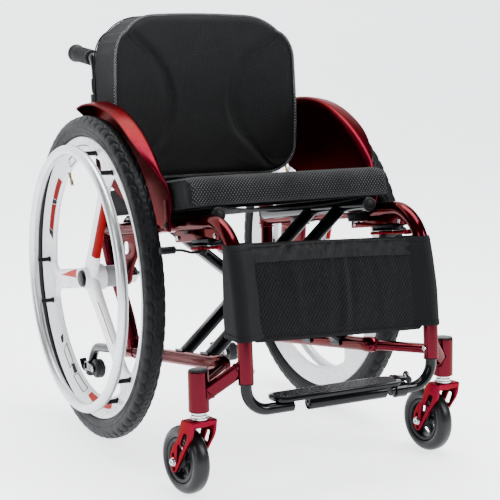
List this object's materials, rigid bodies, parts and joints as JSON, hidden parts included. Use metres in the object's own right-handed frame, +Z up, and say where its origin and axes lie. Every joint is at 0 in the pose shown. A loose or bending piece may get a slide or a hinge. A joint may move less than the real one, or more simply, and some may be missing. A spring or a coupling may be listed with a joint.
{
  "type": "folding sports wheelchair",
  "caption": "Manual wheelchair with a scissor-folding red frame, spoked wheels with handrims, casters, brakes, anti-tippers, a soft seat and back, and a flip-up footplate.",
  "frame": {"origin": "middle of the chair's box on the ground", "axes": "+Z up, the footplate towards -Y, the sitter's left towards +X"},
  "size_m": [0.5864, 0.8326, 0.8],
  "materials": {
    "candy_red": "gloss candy lacquer",
    "satin_red": "satin metallic lacquer",
    "anodised_red": "red anodised",
    "gloss_black": "gloss",
    "black_plastic": "fine grain",
    "black_rubber": "matt",
    "tyre": "matt with fine tread",
    "white_rim": "white gloss composite",
    "pale_alloy": "silver satin",
    "steel": "plain",
    "black_mesh": "spacer mesh",
    "black_cloth": "woven nylon"
  },
  "bodies": {
    "right_frame": {"side_frame_right": "candy_red", "axle_plate_right": "candy_red", "axle_sleeve_right": "gloss_black", "axle_pin_right": "steel", "back_post_right": "gloss_black", "push_grip_right": "black_rubber", "back_post_clamp_right": "black_plastic", "side_guard_right": "satin_red", "brake_clamp_right": "black_plastic", "footrest_hanger_right": "gloss_black", "back_sling": "black_cloth", "back_cushion": "black_mesh", "calf_strap": "black_cloth", "strap_pocket": "black_mesh"},
    "brace_left_body": {"foot_tube_right": "candy_red", "cross_brace_left": "gloss_black", "brace_bolt": "steel"},
    "brace_right_body": {"foot_tube_left": "candy_red", "cross_brace_right": "gloss_black"},
    "left_frame": {"side_frame_left": "candy_red", "axle_plate_left": "candy_red", "axle_sleeve_left": "gloss_black", "axle_pin_left": "steel", "back_post_left": "gloss_black", "push_grip_left": "black_rubber", "back_post_clamp_left": "black_plastic", "side_guard_left": "satin_red", "brake_clamp_left": "black_plastic", "footrest_hanger_left": "gloss_black", "footplate_bracket": "gloss_black"},
    "seat": {"seat_sling": "black_cloth", "seat_cushion": "black_mesh"},
    "footplate_body": {"footplate": "gloss_black"},
    "rear_wheel_right": {"rear_rim_right": "white_rim", "rear_tyre_right": "tyre", "pushrim_right": "pale_alloy"},
    "release_button_right": {"hub_button_right": "black_plastic"},
    "caster_swivel_right": {"caster_fork_right": "anodised_red", "caster_bearing_right": "steel", "caster_bolt_right": "steel"},
    "caster_wheel_right": {"caster_hub_right": "black_plastic", "caster_tyre_right": "tyre"},
    "brake_lever_body_right": {"brake_lever_right": "anodised_red"},
    "brake_arm_body_right": {"brake_arm_right": "black_plastic"},
    "tipper_right": {"anti_tipper_right": "gloss_black"},
    "tipper_wheel_right": {"anti_tipper_wheel_right": "black_rubber"},
    "rear_wheel_left": {"rear_rim_left": "white_rim", "rear_tyre_left": "tyre", "pushrim_left": "pale_alloy"},
    "release_button_left": {"hub_button_left": "black_plastic"},
    "caster_swivel_left": {"caster_fork_left": "anodised_red", "caster_bearing_left": "steel", "caster_bolt_left": "steel"},
    "caster_wheel_left": {"caster_hub_left": "black_plastic", "caster_tyre_left": "tyre"},
    "brake_lever_body_left": {"brake_lever_left": "anodised_red"},
    "brake_arm_body_left": {"brake_arm_left": "black_plastic"},
    "tipper_left": {"anti_tipper_left": "gloss_black"},
    "tipper_wheel_left": {"anti_tipper_wheel_left": "black_rubber"}
  },
  "joints": [
    {"name": "fold", "type": "hinge", "parent": "right_frame", "child": "brace_left_body", "pos_m": [-0.15, -0.05802, 0.16834], "axis": [0, -0.9917, 0.1289], "range_deg": [0, 32], "deforming": ["seat_sling", "seat_cushion", "back_sling", "back_cushion", "calf_strap", "strap_pocket"]},
    {"name": "brace_cross", "type": "hinge", "parent": "brace_left_body", "child": "brace_right_body", "pos_m": [0, -0.09133, 0.29992], "axis": [0, -0.9917, 0.1289], "range_deg": [-64, 0]},
    {"name": "left_foot", "type": "hinge", "parent": "brace_right_body", "child": "left_frame", "pos_m": [0.15, -0.05802, 0.16834], "axis": [0, -0.9917, 0.1289], "range_deg": [0, 32]},
    {"name": "seat_level", "type": "hinge", "parent": "brace_left_body", "child": "seat", "pos_m": [0.15, -0.05523, 0.42247], "axis": [0, -0.9917, 0.1289], "range_deg": [-32, 0]},
    {"name": "footplate_flip", "type": "hinge", "parent": "left_frame", "child": "footplate_body", "pos_m": [0.138, -0.39027, 0.1633], "axis": [0.4695, 0.8829, 0], "range_deg": [0, 90]},
    {"name": "rear_wheel_spin_right", "type": "hinge", "parent": "right_frame", "child": "rear_wheel_right", "pos_m": [-0.245, 0.09073, 0.305], "axis": [1, 0, 0], "continuous": true},
    {"name": "release_button_press_right", "type": "slide", "parent": "right_frame", "child": "release_button_right", "axis": [1, 0, 0], "range_m": [0, 0.004], "stiffness_N_per_m": 800},
    {"name": "caster_swivel_turn_right", "type": "hinge", "parent": "right_frame", "child": "caster_swivel_right", "pos_m": [-0.24, -0.35377, 0.1459], "axis": [0, 0, 1], "continuous": true},
    {"name": "caster_wheel_spin_right", "type": "hinge", "parent": "caster_swivel_right", "child": "caster_wheel_right", "pos_m": [-0.24592, -0.31219, 0.057], "axis": [0.99, 0.1409, 0], "continuous": true},
    {"name": "brake_lever_swing_right", "type": "hinge", "parent": "right_frame", "child": "brake_lever_body_right", "pos_m": [-0.18, -0.25227, 0.39796], "axis": [0, -0.1289, -0.9917], "range_deg": [0, 55]},
    {"name": "brake_arm_swing_right", "type": "hinge", "parent": "right_frame", "child": "brake_arm_body_right", "pos_m": [-0.18, -0.25315, 0.39122], "axis": [0, -0.1289, -0.9917], "range_deg": [0, 6.5]},
    {"name": "anti_tipper_swing_right", "type": "hinge", "parent": "right_frame", "child": "tipper_right", "pos_m": [-0.15, 0.17006, 0.13869], "axis": [0, -0.9917, 0.1289], "range_deg": [0, 180]},
    {"name": "tipper_wheel_spin_right", "type": "hinge", "parent": "tipper_right", "child": "tipper_wheel_right", "pos_m": [-0.157, 0.31873, 0.073], "axis": [1, 0, 0], "continuous": true},
    {"name": "rear_wheel_spin_left", "type": "hinge", "parent": "left_frame", "child": "rear_wheel_left", "pos_m": [0.245, 0.09073, 0.305], "axis": [1, 0, 0], "continuous": true},
    {"name": "release_button_press_left", "type": "slide", "parent": "left_frame", "child": "release_button_left", "axis": [-1, 0, 0], "range_m": [0, 0.004], "stiffness_N_per_m": 800},
    {"name": "caster_swivel_turn_left", "type": "hinge", "parent": "left_frame", "child": "caster_swivel_left", "pos_m": [0.24, -0.35377, 0.1459], "axis": [0, 0, 1], "continuous": true},
    {"name": "caster_wheel_spin_left", "type": "hinge", "parent": "caster_swivel_left", "child": "caster_wheel_left", "pos_m": [0.23678, -0.31189, 0.057], "axis": [0.9971, 0.0767, 0], "continuous": true},
    {"name": "brake_lever_swing_left", "type": "hinge", "parent": "left_frame", "child": "brake_lever_body_left", "pos_m": [0.18, -0.25227, 0.39796], "axis": [0, 0.1289, 0.9917], "range_deg": [0, 55]},
    {"name": "brake_arm_swing_left", "type": "hinge", "parent": "left_frame", "child": "brake_arm_body_left", "pos_m": [0.18, -0.25315, 0.39122], "axis": [0, 0.1289, 0.9917], "range_deg": [0, 6.5]},
    {"name": "anti_tipper_swing_left", "type": "hinge", "parent": "left_frame", "child": "tipper_left", "pos_m": [0.15, 0.17006, 0.13869], "axis": [0, 0.9917, -0.1289], "range_deg": [0, 180]},
    {"name": "tipper_wheel_spin_left", "type": "hinge", "parent": "tipper_left", "child": "tipper_wheel_left", "pos_m": [0.157, 0.31873, 0.073], "axis": [1, 0, 0], "continuous": true}
  ],
  "couplings": [
    {"joint": "brace_cross", "follows": "fold", "ratio": -2},
    {"joint": "left_foot", "follows": "fold", "ratio": 1},
    {"joint": "seat_level", "follows": "fold", "ratio": -1},
    {"joint": "footplate_flip", "follows": "fold", "ratio": 2.8125},
    {"joint": "brake_arm_swing_right", "follows": "brake_lever_swing_right", "ratio": 0.118},
    {"joint": "brake_arm_swing_left", "follows": "brake_lever_swing_left", "ratio": 0.118}
  ]
}
